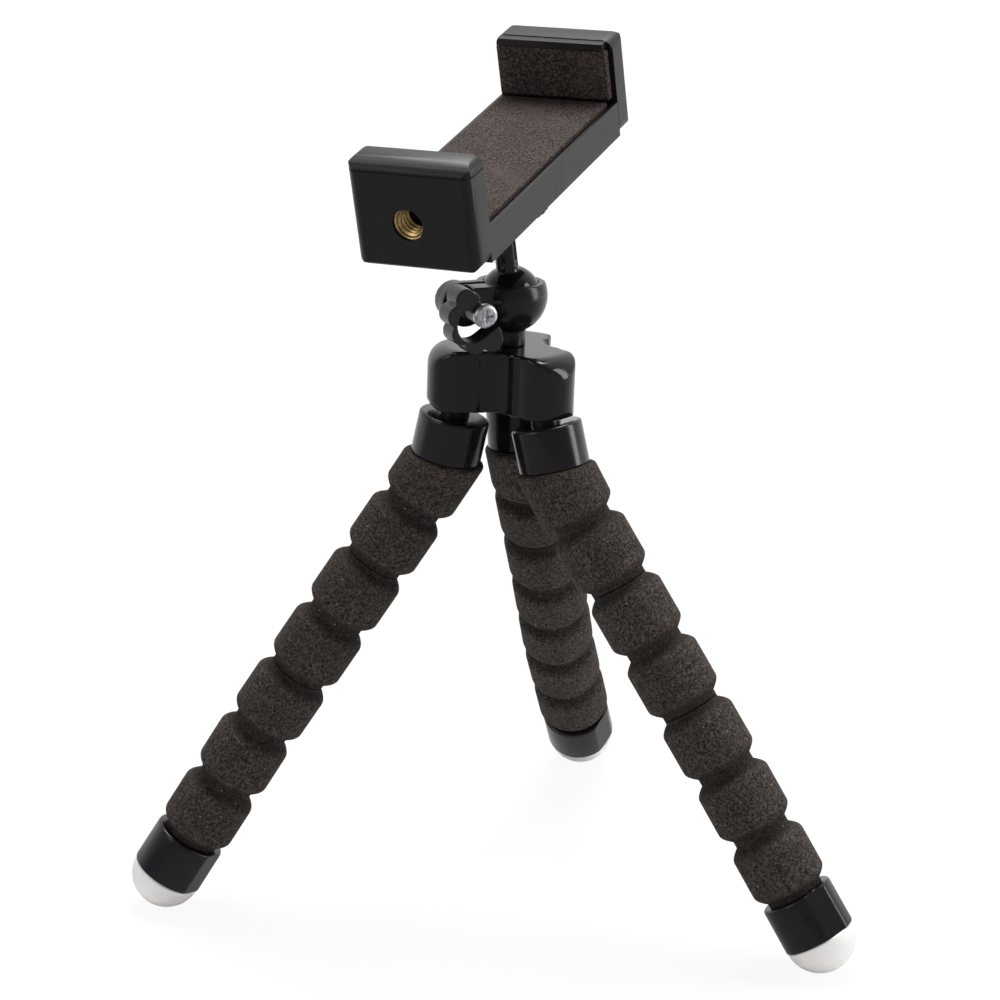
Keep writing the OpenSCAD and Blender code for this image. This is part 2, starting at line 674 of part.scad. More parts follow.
module clamp_body() {
    front = jaw_y + shell_set - slip;
    half = clamp_w / 2;
    color("#1b1b1d") in_clamp() difference() {
        union() {
            fixed_jaw();
            difference() {
                slab(-half, half, inner - cut, front, 0, channel_h);
                slab(-half + wall, half - wall, inner, front + cut, -cut, channel_h - deck_t - ledge);
                slab(-half + wall / 2, half - wall / 2, inner - cut, front + cut,
                    channel_h - ledge, channel_h + cut);
                slab(-half + wall / 2, half - wall / 2, inner, front + cut, -cut, plate_t);
            }
            cylinder(r = boss_r, h = channel_h - deck_t);
            for (x = [-1, 1], y = base_screw_y) translate([x * base_screw_x, y, plate_t])
                cylinder(r = 2 * base_screw_r, h = channel_h - deck_t - plate_t, $fn = 32);
        }
        translate([0, 0, -cut]) cylinder(r = insert_r, h = base_insert_len + cut);
        translate([end_hole_x, -fixed_reach - cut, end_hole_z]) rotate([-90, 0, 0]) {
            cylinder(r = end_hole_r, h = 2 * cut + insert_sink);
            translate([0, 0, cut + insert_sink]) cylinder(r = insert_r, h = end_insert_len);
        }
        for (x = [-1, 1], y = base_screw_y) translate([x * base_screw_x, y, -cut])
            cylinder(r = base_screw_r, h = channel_h - deck_t, $fn = 32);
        for (x = [-1, 1]) translate([x * rail_x, spring_pin_y, plate_t + cut])
            cylinder(r = pin_r, h = channel_h - deck_t - ledge - plate_t, $fn = 24);
    }
}
base_screw_x = rail_x - rail_w / 2 - 2.6 * base_screw_r;
base_screw_y = [inner + 3 * wall, jaw_y - 6 * wall];
spring_pin_y = inner + 2 * wall;
module clamp_base_plate() {
    half = clamp_w / 2 - wall / 2 - slip / 2;
    color("#1d1d1f") in_clamp() difference() {
        slab(-half, half, inner + slip / 2, jaw_y + shell_set - 2 * slip, 0, plate_t - slip / 4);
        translate([0, 0, -cut]) cylinder(r = boss_r + slip / 2, h = plate_t + 2 * cut);
        for (x = [-1, 1], y = base_screw_y) translate([x * base_screw_x, y, -cut]) {
            cylinder(r = base_screw_r + slip / 2, h = plate_t + 2 * cut, $fn = 32);
            cylinder(r = base_screw_head + slip / 2, h = cut + plate_t / 2, $fn = 32);
        }
    }
}
module base_plate_screws() {
    color("#b4b7bd") in_clamp() for (x = [-1, 1], y = base_screw_y) translate([x * base_screw_x, y, 0]) {
        cylinder(r = base_screw_r - slip / 8, h = channel_h - deck_t - 2 * edge - cut, $fn = 32);
        cylinder(r = base_screw_head, h = plate_t / 2 - slip / 4, $fn = 32);
    }
}
module floor_pad() {
    color("#35302d") in_clamp() slab(-floor_pad_w / 2, floor_pad_w / 2, inner + pad_t + slip,
        jaw_y - slip, channel_h - ledge, channel_h - ledge + floor_pad_t);
}
module fixed_jaw_pad() {
    color("#35302d") in_clamp() slab(-floor_pad_w / 2, floor_pad_w / 2, inner, inner + pad_t,
        channel_h + slip, fixed_jaw_h - lip_t - slip);
}
module end_insert() {
    color("#c8a04a") in_clamp() translate([end_hole_x, -fixed_reach + insert_sink, end_hole_z])
        rotate([-90, 0, 0]) tube(insert_r, end_insert_len, thread_r);
}
module base_insert() {
    color("#c8a04a") in_clamp() tube(insert_r, base_insert_len, thread_r);
}
module spring_pins() {
    color("#b4b7bd") in_clamp() for (x = [-1, 1]) translate([x * rail_x, spring_pin_y, plate_t])
        cylinder(r = pin_r, h = channel_h - deck_t - ledge - plate_t, $fn = 24);
}
module clamp_springs() {
    low = spring_pin_y + pin_r + slip;
    color("#9da1a8") in_clamp() for (x = [-1, 1])
        translate([x * rail_x, low, plate_t + slip + rail_h / 2]) rotate([-90, 0, 0])
            tube(spring_r, -rail_back - slip - low, spring_r - spring_wall);
}
module sliding_jaw() {
    half = clamp_w / 2;
    shell = jaw_y + shell_set;
    outer = shell + jaw_shell_t;
    low = plate_t + slip;
    color("#1b1b1d") in_clamp() {
        intersection() {
            linear_extrude(sliding_jaw_h) jaw_plan(shell - 2 * corner_r, outer);
            translate([0, outer, 0]) rotate([90, 0, 0]) linear_extrude(jaw_shell_t) jaw_face(sliding_jaw_h);
            across(-clamp_w, clamp_w) polygon([
                [shell, 0], [outer - edge, 0], [outer, edge], [outer, sliding_jaw_h - bevel_run],
                [outer - bevel_run, sliding_jaw_h], [shell, sliding_jaw_h]]);
        }
        slab(-half + 2 * wall, half - 2 * wall, jaw_y + pad_t, shell + cut,
            channel_h + slip, sliding_jaw_h - lip_t);
        slab(-half + wall, half - wall, jaw_y, shell + cut, sliding_jaw_h - lip_t, sliding_jaw_h - slip);
        for (x = [-1, 1])
            slab(x * rail_x - rail_w / 2, x * rail_x + rail_w / 2, -rail_back, shell + cut,
                low, low + rail_h);
    }
}
module sliding_jaw_pad() {
    half = clamp_w / 2 - wall / 2;
    color("#35302d") in_clamp() slab(-half + slip, half - slip, jaw_y, jaw_y + pad_t,
        channel_h + floor_pad_t - ledge + slip, sliding_jaw_h - lip_t - slip / 2);
}

hub_body();
hub_base_cover();
hub_cover_screws();
head_screw();
for (i = [0:2]) {
    leg_pin(i);
    collar(i);
    foam_first(i);
    wire_first(i);
    for (k = [1:3]) {
        foam_length(i, k);
        wire_length(i, k);
    }
    end_cap(i);
    foot(i);
}
ball_cup();
lock_nut();
lock_lever();
lock_screw();
ball_stem();
lock_wheel();
clamp_body();
clamp_base_plate();
base_plate_screws();
floor_pad();
fixed_jaw_pad();
end_insert();
base_insert();
spring_pins();
clamp_springs();
sliding_jaw();
sliding_jaw_pad();
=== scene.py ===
"""Phone tripod: beaded foam legs, trefoil hub, ball head with a lock lever, spring-loaded phone clamp."""
import json
import math

import bmesh
import bpy
import numpy as np
from bpy.props import FloatProperty, FloatVectorProperty, PointerProperty
from bpy.types import Operator, Panel, PropertyGroup
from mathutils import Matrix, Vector


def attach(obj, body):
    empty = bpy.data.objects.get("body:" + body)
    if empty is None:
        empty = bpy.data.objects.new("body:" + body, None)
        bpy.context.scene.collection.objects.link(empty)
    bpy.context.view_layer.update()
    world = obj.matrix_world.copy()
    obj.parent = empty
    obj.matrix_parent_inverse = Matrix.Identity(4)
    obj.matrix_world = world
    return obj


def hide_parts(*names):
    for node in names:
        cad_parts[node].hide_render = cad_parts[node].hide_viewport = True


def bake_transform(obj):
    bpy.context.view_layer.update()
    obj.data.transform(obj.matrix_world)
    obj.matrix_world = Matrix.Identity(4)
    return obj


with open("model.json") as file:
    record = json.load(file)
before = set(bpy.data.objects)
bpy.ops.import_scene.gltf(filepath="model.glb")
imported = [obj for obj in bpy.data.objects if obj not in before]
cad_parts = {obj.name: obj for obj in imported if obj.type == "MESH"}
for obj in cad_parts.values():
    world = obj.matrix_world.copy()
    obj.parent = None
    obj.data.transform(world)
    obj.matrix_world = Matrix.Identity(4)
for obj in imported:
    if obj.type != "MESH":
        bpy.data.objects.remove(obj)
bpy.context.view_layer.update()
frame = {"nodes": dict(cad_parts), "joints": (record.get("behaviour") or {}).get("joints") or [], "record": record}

bl_info = {
    "name": "Phone tripod",
    "version": (1, 0, 0),
    "blender": (4, 5, 0),
    "location": "View3D > Sidebar > Tripod",
    "description": "Dresses the tripod's frame with foam, moulded plastic, brass and rubber",
    "category": "Object",
}

MM = 0.001
LEGS = ("left", "right", "rear")
JOINTS = {joint["name"]: joint for joint in frame["joints"]}
FINISHES = {}


# Places, all from the frame's joints and nodes

def unit(vector):
    vector = np.asarray(vector, float)
    return vector / np.linalg.norm(vector)


def pivot(joint):
    return np.array(JOINTS[joint]["pos_m"], float)


def axis(joint):
    return unit(JOINTS[joint]["axis"])


def points_of(node):
    """The points of a CAD node's mesh."""
    mesh = frame["nodes"][node].data
    points = np.empty(len(mesh.vertices) * 3, np.float32)
    mesh.vertices.foreach_get("co", points)
    return points.reshape(-1, 3).astype(float)


def way_down(node):
    """Direction of a straight CAD rod: that in which its points spread furthest, pointing down."""
    points = points_of(node)
    way = np.linalg.svd(points - points.mean(0), full_matrices=False)[2][0]
    return way if way[2] < 0 else -way


class Place:
    """A right-angled frame: at(x, y, z) turns lengths in millimetres along its axes into points."""

    def __init__(self, origin, z, x_hint):
        self.origin = np.asarray(origin, float)
        self.z = unit(z)
        self.y = unit(np.cross(self.z, x_hint))
        self.x = np.cross(self.y, self.z)

    def at(self, x, y, z):
        x, y, z = np.broadcast_arrays(x, y, z)
        way = x[..., None] * self.x + y[..., None] * self.y + z[..., None] * self.z
        return self.origin + MM * way

    def moved(self, x, y, z):
        return Place(self.at(x, y, z), self.z, self.x)

    def own(self, points):
        """The other way round: points of the frame as millimetres along the axes."""
        return (points - self.origin) @ np.stack([self.x, self.y, self.z], 1) / MM

    def angle(self, way):
        """Angle about the axis at which a direction lies."""
        return math.atan2(way @ self.y, way @ self.x)


BALL = pivot("ball_tilt")
STEM_WAY = axis("clamp_turn")
HUB_WAY = axis("cup_turn")
STEM = Place(BALL, STEM_WAY, np.cross(axis("jaw_slide"), STEM_WAY))
STEM_LEN = STEM.own(points_of("base_insert"))[:, 2].min()
CLAMP = STEM.moved(0, 0, STEM_LEN)
CUP = Place(BALL, HUB_WAY, np.cross(axis("lever_turn"), HUB_WAY))
LOCK = Place(pivot("lever_turn"), axis("lever_turn"), CUP.x)
HUB = Place(pivot("cup_turn"), HUB_WAY, pivot("left_leg_tilt") - pivot("cup_turn"))


# Settings

def length(name, description, default):
    return FloatProperty(name=name, description=description, default=default * MM, unit="LENGTH", precision=5)


def colour(name, description, default):
    return FloatVectorProperty(name=name, description=description, default=default, size=3, min=0, max=1,
                               subtype="COLOR")


class TripodLegSizes(PropertyGroup):
    """Sizes of the foam sleeves and of what holds their ends."""
    foam_r: length("Bead radius", "Radius of a foam bead", 8.75)
    groove_r: length("Groove radius", "Radius at the bottom of the groove between two beads", 6.6)
    groove_w: length("Groove width", "Width of the groove's flat bottom", 1.8)
    shoulder: length("Shoulder", "Length of a bead's rounded shoulder", 2.8)
    first_bead: length("Top bead", "Length of the top bead below its collar", 13.6)
    pitch: length("Bead pitch", "Distance from one groove to the next", 16.2)
    lip: length("Top lip", "Rounding of the top bead's rim under the collar", 1.1)
    collar_r: length("Collar radius", "Radius of the collars", 8.0)
    collar_len: length("Collar length", "Length of the collars", 10.0)
    pin_reach: length("Pin reach", "From a pin's ball to the top of its collar", 4.9)
    cap_r: length("End cap radius", "Radius of the end caps", 8.4)
    cap_len: length("End cap length", "Length of the end caps", 11.3)
    foot_r: length("Foot radius", "Radius of the rubber feet", 8.2)


class TripodHeadSizes(PropertyGroup):
    """Sizes of the ball, the lock wheel, the clamp's edges and the threads."""
    ball_r: length("Ball radius", "Radius of the ball", 6.85)
    stem_r: length("Stem radius", "Radius of the stem above the ball", 2.5)
    wheel_r: length("Wheel radius", "Radius of the lock wheel", 10.8)
    wheel_t: length("Wheel thickness", "Thickness of the lock wheel", 4.2)
    thread_r: length("Thread radius", "Major radius of the brass threads", 3.175)
    thread_pitch: length("Thread pitch", "Pitch of the brass threads", 1.27)
    insert_r: length("Insert radius", "Outer radius of the brass inserts", 4.1)
    insert_len: length("Insert length", "Length of the brass inserts", 5.2)
    edge_r: length("Edge radius", "Rounding of the clamp's edges", 0.9)
    pad_edge: length("Pad edge", "Rounding of the foam pads' edges", 0.35)


class TripodFinishes(PropertyGroup):
    """Colours of the finishes."""
    foam: colour("Leg foam", "Colour of the foam sleeves", (0.046, 0.037, 0.032))
    pad: colour("Pad foam", "Colour of the clamp's foam pads", (0.047, 0.035, 0.031))
    gloss: colour("Gloss plastic", "Colour of the hub, collars and cup", (0.009, 0.0065, 0.009))
    satin: colour("Satin plastic", "Colour of the clamp", (0.0068, 0.0046, 0.0066))
    dust: colour("Dust", "Colour of the fine dust on the plastic", (0.12, 0.11, 0.11))
    rubber: colour("Foot rubber", "Colour of the feet", (0.96, 0.93, 0.915))
    brass: colour("Brass", "Colour of the threaded inserts", (0.74, 0.52, 0.22))
    zinc: colour("Zinc", "Colour of the screws", (0.84, 0.87, 1.0))
    steel: colour("Steel", "Colour of the springs", (0.5, 0.51, 0.53))
    wire: colour("Leg wire", "Colour of the soft wire in the legs", (0.72, 0.73, 0.75))


# Shader expressions

def fill(tree, slot, value):
    """Links a varying value to a socket, or sets a number, vector or colour on it."""
    if isinstance(value, Value):
        tree.links.new(value.socket, slot)
    elif slot.type == "RGBA":
        slot.default_value = (*value, 1.0)
    else:
        slot.default_value = value


class Value:
    """Something that varies over a surface. Python's operators on it add Math nodes."""

    def __init__(self, tree, socket):
        self.tree = tree
        self.socket = socket

    def math(self, operation, *others, flipped=False, clamp=False):
        node = self.tree.nodes.new("ShaderNodeMath")
        node.operation = operation
        node.use_clamp = clamp
        values = (self, *others)
        for slot, value in zip(node.inputs, reversed(values) if flipped else values):
            fill(self.tree, slot, value)
        return Value(self.tree, node.outputs[0])

    def __add__(self, other):
        return self.math("ADD", other)

    def __sub__(self, other):
        return self.math("SUBTRACT", other)

    def __rsub__(self, other):
        return self.math("SUBTRACT", other, flipped=True)

    def __mul__(self, other):
        return self.math("MULTIPLY", other)

    __radd__ = __add__
    __rmul__ = __mul__

    def held(self):
        """The value held between 0 and 1."""
        return self.math("ADD", 0, clamp=True)

    def ramp(self, low, high):
        """0 at low, 1 at high, straight between them and level beyond; low may be the larger."""
        return ((self - low) * (1 / (high - low))).held()

    def near(self, middle, half_width):
        """1 at middle, falling to 0 at half_width either side."""
        return (self - middle).math("ABSOLUTE").ramp(half_width, 0)


class Shading:
    """The emptied node tree of a material or a world, with ways to add nodes to it."""

    def __init__(self, owner, output):
        owner.use_nodes = True
        self.tree = owner.node_tree
        self.tree.nodes.clear()
        self.output = self.tree.nodes.new(output)

    def show(self, shader):
        fill(self.tree, self.output.inputs["Surface"], shader)

    def node(self, kind, inputs=(), out=0, **settings):
        """Any node but Math: its type, its settings first, then its sockets by name or number."""
        node = self.tree.nodes.new(kind)
        for key, value in settings.items():
            setattr(node, key, value)
        for key, value in dict(inputs).items():
            fill(self.tree, node.inputs[key], value)
        return Value(self.tree, node.outputs[out])

    def rays(self, *kinds):
        """1 for rays of the given kinds, 0 for others."""
        return sum(self.node("ShaderNodeLightPath", out=f"Is {kind} Ray") for kind in kinds).held()

    def parts(self, vector):
        """The three numbers of a vector."""
        return [self.node("ShaderNodeSeparateXYZ", {0: vector}, k) for k in range(3)]

    def joined(self, *parts):
        """A vector of up to three numbers."""
        return self.node("ShaderNodeCombineXYZ", enumerate(parts))


class Finish(Shading):
    """One material: a Principled shader whose patterns are written as expressions."""

    def __init__(self, name, **sockets):
        self.material = bpy.data.materials.new(name)
        super().__init__(self.material, "ShaderNodeOutputMaterial")
        self.shader = self.node("ShaderNodeBsdfPrincipled")
        self.show(self.shader)
        self.set(**sockets)

    def set(self, **sockets):
        """Sets sockets of the shader; underscores in their names stand for spaces."""
        for name, value in sockets.items():
            fill(self.tree, self.shader.socket.node.inputs[name.replace("_", " ")], value)

    def where(self, place=None):
        """Object coordinates, or with a place the same in millimetres along that place's axes."""
        point = self.node("ShaderNodeTexCoord", out="Object")
        if place is None:
            return point
        offset = self.node("ShaderNodeVectorMath", {0: point, 1: place.origin}, operation="SUBTRACT")
        along = [self.node("ShaderNodeVectorMath", {0: offset, 1: way / MM}, "Value", operation="DOT_PRODUCT")
                 for way in (place.x, place.y, place.z)]
        return self.joined(*along)

    def laid_out(self):
        """The sleeve's own straightened coordinates in millimetres, which don't slide when it bends."""
        return self.node("ShaderNodeAttribute", out="Vector", attribute_name="laid_out")

    def noise(self, where, size, detail=2.0, roughness=0.5):
        """Cloudy noise from 0 to 1, whose features are about size across."""
        return self.node("ShaderNodeTexNoise", {"Vector": where, "Scale": 1 / size, "Detail": detail,
                                                "Roughness": roughness})

    def cells(self, where, size):
        """Distance from the nearest of scattered points that lie about size apart."""
        return self.node("ShaderNodeTexVoronoi", {"Vector": where, "Scale": 1 / size})

    def mix(self, share, low, high):
        """A colour between two, by a share that varies."""
        return self.node("ShaderNodeMix", {0: share, 6: low, 7: high}, 2, data_type="RGBA")

    def bump(self, height, depth, strength=1.0):
        """Raises the surface by depth metres where height is 1."""
        inputs = {"Height": height, "Distance": depth, "Strength": strength}
        self.set(Normal=self.node("ShaderNodeBump", inputs))


def times(rgb, factor):
    return tuple(min(1.0, value * factor) for value in rgb)


# Finishes

def leg_foam(c):
    """Sliced foam: fine bright grain over dark pores, coarser on the shoulders of a bead, where the colour darkens
    towards each groove: painted shade in the groove, and the cut foam there is darker too.
    """
    f = Finish("leg_foam", Roughness=0.9, Specular_IOR_Level=0.22)
    point = f.laid_out()
    x, y, _ = f.parts(point)
    shoulder = (x * x + y * y).math("SQRT").ramp(8.55, 7.6)
    fine = f.noise(point, 0.5, 1, 0.6)
    coarse = f.noise(point, 1.1, 2, 0.7)
    cloud = f.noise(point, 5.5)
    pores = f.cells(point, 0.8).ramp(0.14, 0.36)
    # Painted glints: sparse bright specks put into the base colour
    sparkle = f.cells(point, 2.1).ramp(0.12, 0.07) * f.noise(point, 2.3, 0).ramp(0.5, 0.6)
    grain = fine.ramp(0.38, 0.64) * 0.65 + coarse.ramp(0.36, 0.66) * 0.35
    tone = f.mix(grain, times(c.foam, 0.15), times(c.foam, 2.3))
    tone = f.mix(pores, times(c.foam, 0.2), tone)
    tone = f.mix(cloud.ramp(0.35, 0.75) * 0.35, tone, times(c.foam, 0.8))
    # Painted shade: the colour darkens towards each groove, where the beads shade it; the cut foam there is darker
    # too
    tone = f.mix(shoulder * 0.55, tone, times(c.foam, 0.35))
    f.set(Base_Color=f.mix(sparkle, tone, times(c.foam, 5)))
    f.bump(pores * 0.4 + grain * (0.4 + shoulder * 0.5), 0.00026, 0.8)
    return f


def pad_foam(c):
    """Pad foam: the same grain pressed finer, with pale rub marks that slant across it."""
    f = Finish("pad_foam", Roughness=0.88, Specular_IOR_Level=0.25)
    point = f.where(CLAMP)
    x, y, _ = f.parts(point)
    fine = f.noise(point, 0.45, 1, 0.6)
    cloud = f.noise(point, 6, 3, 0.6)
    pores = f.cells(point, 0.7).ramp(0.12, 0.34)
    rub = f.noise(f.joined(x * 0.08 + y * 0.14, cloud * 0.8), 1.0, 3)
    tone = f.mix(fine.ramp(0.38, 0.64), times(c.pad, 0.15), times(c.pad, 2.0))
    tone = f.mix(pores, times(c.pad, 0.4), tone)
    tone = f.mix(rub.ramp(0.5, 0.72) * 0.5, tone, times(c.pad, 1.75))
    f.set(Base_Color=f.mix(cloud.ramp(0.4, 0.75) * 0.4, tone, times(c.pad, 0.6)))
    f.bump(pores * 0.4 + fine * 0.6, 0.00014, 0.7)
    return f


def moulded(name, c, base, rough, place, peel, dust=0.4, level=0.4):
    """Moulded plastic: faint orange peel, uneven gloss and sparse pale dust."""
    f = Finish(name, Specular_IOR_Level=level)
    point = f.where(place)
    uneven = f.noise(point, 7, 3)
    specks = f.cells(point, 3.4).ramp(0.04, 0.022) * f.noise(point, 9, 0).ramp(0.48, 0.6) * dust
    f.set(Roughness=rough + uneven * 0.1 + specks * 0.3)
    f.set(Base_Color=f.mix(specks, f.mix(uneven, times(base, 0.8), times(base, 1.25)), c.dust))
    f.bump(f.noise(point, peel), 0.00003, 0.5)
    return f


def clamp_satin(c):
    """Clamp plastic: fine moulded grain; round the near jaw under its top runs a parting line, a shallow groove
    painted near-black as painted shade of the gap.
    """
    f = Finish("clamp_satin_black", Specular_IOR_Level=0.4)
    point = f.where(CLAMP)
    _, y, z = f.parts(point)
    grain = f.noise(point, 0.4, 3, 0.6)
    cloud = f.noise(point, 8, 3)
    scuff = f.noise(point, 1.7, 4, 0.7).ramp(0.58, 0.75) * cloud.ramp(0.45, 0.7)
    specks = f.cells(point, 3.1).ramp(0.042, 0.024) * f.noise(point, 6, 0).ramp(0.48, 0.6)
    # Painted shade: a near-black line where the gap under the near jaw's top lies in shade
    shaded_gap = z.near(21.2, 0.3).ramp(0, 0.6) * y.ramp(-32.0, -33.3)
    tone = f.mix(grain * 0.5 + cloud * 0.5, times(c.satin, 0.5), times(c.satin, 1.5))
    tone = f.mix(scuff * 0.25, tone, times(c.satin, 3.5))
    f.set(Base_Color=f.mix(shaded_gap, f.mix(specks, tone, c.dust), times(c.satin, 0.1)))
    f.set(Roughness=0.36 + cloud * 0.14 + shaded_gap * 0.4 + scuff * 0.1)
    f.bump(grain * 0.12 - shaded_gap, 0.00018, 0.55)
    return f


def metal(name, base, rough, place):
    """Metal: cloudy tone, fine turned grain and uneven gloss."""
    f = Finish(name, Metallic=1.0)
    point = f.where(place)
    cloud = f.noise(point, 1.3, 3, 0.65)
    f.set(Base_Color=f.mix(cloud.ramp(0.3, 0.7), times(base, 0.45), times(base, 1.2)))
    f.set(Roughness=rough + cloud * 0.2)
    f.bump(f.noise(point, 0.3, 3, 0.7), 0.00006, 0.7)
    return f


def foot_rubber(c):
    """Milky rubber: soft clouds, a fine skin, and painted shade: a grey tinge where the foot meets the ground."""
    f = Finish("foot_rubber", Specular_IOR_Level=0.4, Subsurface_Weight=0.25, Subsurface_Scale=0.0015)
    point = f.where()
    cloud = f.noise(point, 0.004, 3)
    scratch = f.noise(point, 0.0012, 4, 0.7).ramp(0.62, 0.75)
    # Painted shade: the colour greys within 3 mm of the ground, where the foot meets the floor
    ground = f.parts(point)[2].ramp(0.003, 0.0)
    tinge = ground * 0.35 + cloud.ramp(0.45, 0.8) * 0.15 + scratch * 0.12
    f.set(Base_Color=f.mix(tinge, c.rubber, times(c.rubber, 0.7)))
    f.set(Roughness=0.34 + cloud * 0.22)
    f.bump(f.noise(point, 0.0009), 0.00004, 0.5)
    return f


def make_finishes(c):
    """Every finish of the tripod, by the name of its material slot."""
    FINISHES.update({
        "foam_sleeve": leg_foam(c),
        "foam_pad": pad_foam(c),
        "hub_plastic": moulded("hub_gloss_black", c, c.gloss, 0.1, HUB, 1.6, dust=0.7),
        "collar_plastic": moulded("collar_gloss_black", c, c.gloss, 0.14, HUB, 1.3),
        "pin_plastic": moulded("pin_black", c, c.gloss, 0.25, HUB, 1.1),
        "head_plastic": moulded("cup_black", c, c.gloss, 0.2, CUP, 1.2),
        "lever_plastic": moulded("lever_black", c, times(c.gloss, 1.7), 0.26, LOCK, 0.7,
                                 dust=0.9, level=0.45),
        "ball_plastic": moulded("ball_gloss_black", c, times(c.gloss, 0.7), 0.06, STEM, 1.4, dust=0.2),
        "clamp_plastic": clamp_satin(c),
        "foot_rubber": foot_rubber(c),
        "insert_brass": metal("brass", c.brass, 0.18, CLAMP),
        "zinc_screw": metal("zinc", c.zinc, 0.27, LOCK),
        "leg_wire": metal("soft_aluminium", c.wire, 0.35, HUB),
        "spring_steel": metal("spring_wire", c.steel, 0.3, CLAMP),
    })


# Mesh tools

def link(name, mesh):
    piece = bpy.data.objects.new(name, mesh)
    bpy.context.scene.collection.objects.link(piece)
    return piece


def smooth(mesh, angle):
    """Smooth shading, with edges sharper than the angle in degrees left sharp."""
    mesh.polygons.foreach_set("use_smooth", np.ones(len(mesh.polygons), bool))
    mesh.set_sharp_from_angle(angle=math.radians(angle))


def ring_skin(name, rings, closed=False, angle=40):
    """A skin over an array of closed rings: quads join ring to ring; flat caps close the ends, unless the
    last ring joins the first."""
    rows, cols = rings.shape[:2]
    i, j = np.meshgrid(np.arange(rows if closed else rows - 1), np.arange(cols), indexing="ij")
    n, m = (i + 1) % rows, (j + 1) % cols
    faces = np.stack([i * cols + j, i * cols + m, n * cols + m, n * cols + j], -1).reshape(-1, 4).tolist()
    if not closed:
        faces += [list(range(cols))[::-1], list(range((rows - 1) * cols, rows * cols))]
    mesh = bpy.data.meshes.new(name)
    mesh.from_pydata(rings.reshape(-1, 3).tolist(), [], faces)
    mesh.update()
    smooth(mesh, angle)
    return link(name, mesh)


def merged(name, node):
    """A piece with a merged copy of a CAD node's mesh."""
    bm = bmesh.new()
    bm.from_mesh(frame["nodes"][node].data)
    bmesh.ops.remove_doubles(bm, verts=bm.verts, dist=2e-6)
    bmesh.ops.dissolve_limit(bm, angle_limit=math.radians(0.6), verts=bm.verts, edges=bm.edges)
    mesh = bpy.data.meshes.new(name)
    bm.to_mesh(mesh)
    bm.free()
    return link(name, mesh)


def dress(piece, finish, body, *nodes, slot=None):
    """Gives a piece its finish and its body, and hides the CAD nodes that it stands for."""
    piece.data.materials.append(FINISHES[finish].material)
    if body:
        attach(piece, body)
    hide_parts(*nodes)
    return piece


def bevelled(name, node, finish, body, width, segments=3):
    """A CAD node whose sharp edges are rounded by a bevel of the given width in millimetres."""
    piece = merged(name, node)
    smooth(piece.data, 38)
    bevel = piece.modifiers.new("Rounded edges", "BEVEL")
    bevel.width = width * MM
    bevel.segments = segments
    bevel.limit_method = "ANGLE"
    bevel.angle_limit = math.radians(32)
    bevel.harden_normals = True
    bevel.miter_outer = "MITER_ARC"
    return dress(piece, finish, body, node)


def relaxed(name, node, finish, body, cell, rounds, slot=None):
    """A CAD node remeshed into even cells and eased by rounds of averaging, which turn every edge round."""
    piece = merged(name, node)
    remesh = piece.modifiers.new("Even cells", "REMESH")
    remesh.mode = "VOXEL"
    remesh.voxel_size = cell * MM
    remesh.use_smooth_shade = True
    ease = piece.modifiers.new("Rounded edges", "SMOOTH")
    ease.factor = 0.5
    ease.iterations = rounds
    return dress(piece, finish, body, node, slot=slot)


def arc(x, y, r, start, end, points=8):
    """Points on an arc about (x, y), between two angles in degrees."""
    a = np.radians(np.linspace(start, end, points))
    return np.stack([x + r * np.cos(a), y + r * np.sin(a)], 1)


def turned(name, place, profile, turns, shape=None, closed=True, angle=40):
    """A profile of (radius, height) points turned about the place's axis; shape may change the radius as a
    function of angle, radius and height."""
    phi = np.linspace(0, 2 * math.pi, turns, endpoint=False)[None, :]
    r = profile[:, :1] + 0 * phi
    z = profile[:, 1:] + 0 * phi
    if shape:
        r = shape(phi, r, z)
    return ring_skin(name, place.at(r * np.cos(phi), r * np.sin(phi), z), closed, angle)


# Legs

# Beads on a leg, beads on each length below the first, and the metres over which a sleeve bends
LEG_BEADS = 7
LENGTH_BEADS = 2
BEND_SPAN = 0.008


def groove_middles(sizes):
    """Distances from the collar to the middle of each groove."""
    return sizes.first_bead + sizes.pitch * np.arange(LEG_BEADS)


